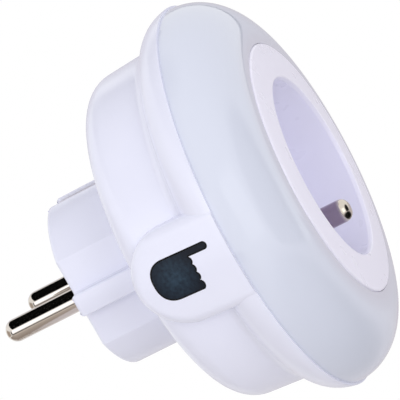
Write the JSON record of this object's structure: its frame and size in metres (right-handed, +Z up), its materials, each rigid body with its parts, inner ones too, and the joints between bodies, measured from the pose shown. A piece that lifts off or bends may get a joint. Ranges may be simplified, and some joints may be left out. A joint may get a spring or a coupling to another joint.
{
  "type": "plug-in night light",
  "caption": "Round LED night light that plugs into a wall socket, with a frosted glowing ring round a pass-through socket and a touch-sensitive hand pad on its side.",
  "frame": {"origin": "middle of the plug's flat end face, the one that the two pins stand on", "axes": "+Y along the plug pins into the wall, -Y out of the front socket, +Z up with the earth pin below the pins, -X towards the side that carries the touch pad"},
  "size_m": [0.085, 0.0735, 0.085],
  "materials": {
    "rear_housing": "glossy moulded polycarbonate",
    "touch_window": "glossy dark slate",
    "line_pin": "polished nickel plate",
    "neutral_pin": "polished nickel plate",
    "pin_carrier": "moulded polyamide",
    "carrier_screws": "zinc plated",
    "plug_earth_sleeve": "nickel plate",
    "earth_clip_upper": "nickel plate",
    "earth_clip_lower": "nickel plate",
    "earth_bridge": "stamped",
    "line_contact": "drawn",
    "neutral_contact": "drawn",
    "line_strap": "stamped",
    "neutral_strap": "stamped",
    "contact_holder": "moulded polyamide",
    "holder_screws": "zinc plated",
    "socket_earth_pin": "polished nickel plate",
    "socket_insert": "glossy moulded polycarbonate",
    "housing_screws": "zinc plated",
    "shutter": "moulded acetal",
    "shutter_spring": "drawn wire",
    "diffuser_ring": "frosted opal polycarbonate",
    "led_board": "white solder mask",
    "reflector_ring": "white film",
    "led_chips": "phosphor in silicone",
    "driver_board": "green solder mask",
    "mains_capacitor": "dipped film capacitor",
    "rectifier": "moulded epoxy",
    "led_driver_chip": "moulded epoxy",
    "smoothing_capacitor": "sleeved can",
    "fuse_resistor": "lacquered ceramic",
    "touch_board": "green solder mask",
    "touch_chip": "moulded epoxy",
    "touch_electrode": "tinned copper foil",
    "touch_spring": "drawn wire",
    "board_links": "tinned pins",
    "mains_leads": "insulated wire"
  },
  "bodies": {
    "housing": {"rear_housing": "rear_housing", "touch_window": "touch_window", "line_pin": "line_pin", "neutral_pin": "neutral_pin", "pin_carrier": "pin_carrier", "carrier_screws": "carrier_screws", "plug_earth_sleeve": "plug_earth_sleeve", "earth_clip_upper": "earth_clip_upper", "earth_clip_lower": "earth_clip_lower", "earth_bridge": "earth_bridge", "line_contact": "line_contact", "neutral_contact": "neutral_contact", "line_strap": "line_strap", "neutral_strap": "neutral_strap", "contact_holder": "contact_holder", "holder_screws": "holder_screws", "socket_earth_pin": "socket_earth_pin", "socket_insert": "socket_insert", "housing_screws": "housing_screws", "shutter_spring": "shutter_spring", "diffuser_ring": "diffuser_ring", "led_board": "led_board", "reflector_ring": "reflector_ring", "led_chips": "led_chips", "driver_board": "driver_board", "mains_capacitor": "mains_capacitor", "rectifier": "rectifier", "led_driver_chip": "led_driver_chip", "smoothing_capacitor": "smoothing_capacitor", "fuse_resistor": "fuse_resistor", "touch_board": "touch_board", "touch_chip": "touch_chip", "touch_electrode": "touch_electrode", "touch_spring": "touch_spring", "board_links": "board_links", "mains_leads": "mains_leads"},
    "shutter": {"shutter": "shutter"}
  },
  "joints": [
    {"name": "shutter_slide", "type": "slide", "parent": "housing", "child": "shutter", "axis": [0, 0, 1], "range_m": [0, 0.00645], "stiffness_N_per_m": 480, "springref_m": -0.001, "deforming": ["shutter_spring"]}
  ]
}
